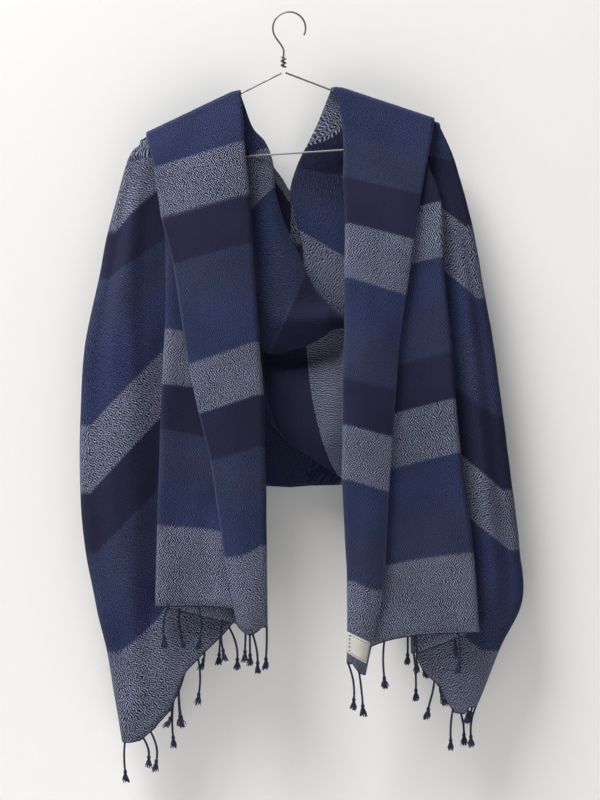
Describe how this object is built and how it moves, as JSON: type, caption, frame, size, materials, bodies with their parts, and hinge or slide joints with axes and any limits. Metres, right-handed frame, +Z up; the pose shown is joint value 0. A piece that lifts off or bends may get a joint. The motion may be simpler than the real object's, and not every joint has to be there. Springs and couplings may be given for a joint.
{
  "type": "scarf on a wire hanger",
  "caption": "Striped cotton scarf draped over a wire hanger, its collar turned out like a shawl, with a deep cowl at the neck and knotted fringe along both ends.",
  "frame": {"origin": "inner top of the hook, where a knob or rail holds the hanger", "axes": "+X to the viewer's right along the hanger, -Y towards the viewer, +Z up"},
  "size_m": [0.5538, 0.0823, 0.9693],
  "materials": {
    "cloth": "matte striped cotton, blue, slate, navy and a white and navy zigzag weave",
    "fringe": "twisted cotton cords with knots and frayed tufts",
    "label": "plain cream woven tape",
    "wire": "bare drawn steel wire"
  },
  "bodies": {
    "root": {"left_lapel": "cloth", "left_front": "cloth", "left_side": "cloth", "right_lapel": "cloth", "right_front": "cloth", "right_side": "cloth", "back_panel": "cloth", "cowl_left": "cloth", "cowl_right": "cloth", "cowl_lower": "cloth", "left_lapel_fringe": "fringe", "left_front_fringe": "fringe", "left_side_fringe": "fringe", "right_lapel_fringe": "fringe", "right_front_fringe": "fringe", "right_side_fringe": "fringe", "left_back_fringe": "fringe", "right_back_fringe": "fringe", "label": "label", "hanger_hook": "wire", "hanger_neck_twist": "wire", "hanger_left_arm": "wire", "hanger_right_arm": "wire", "hanger_bar": "wire"}
  },
  "joints": []
}
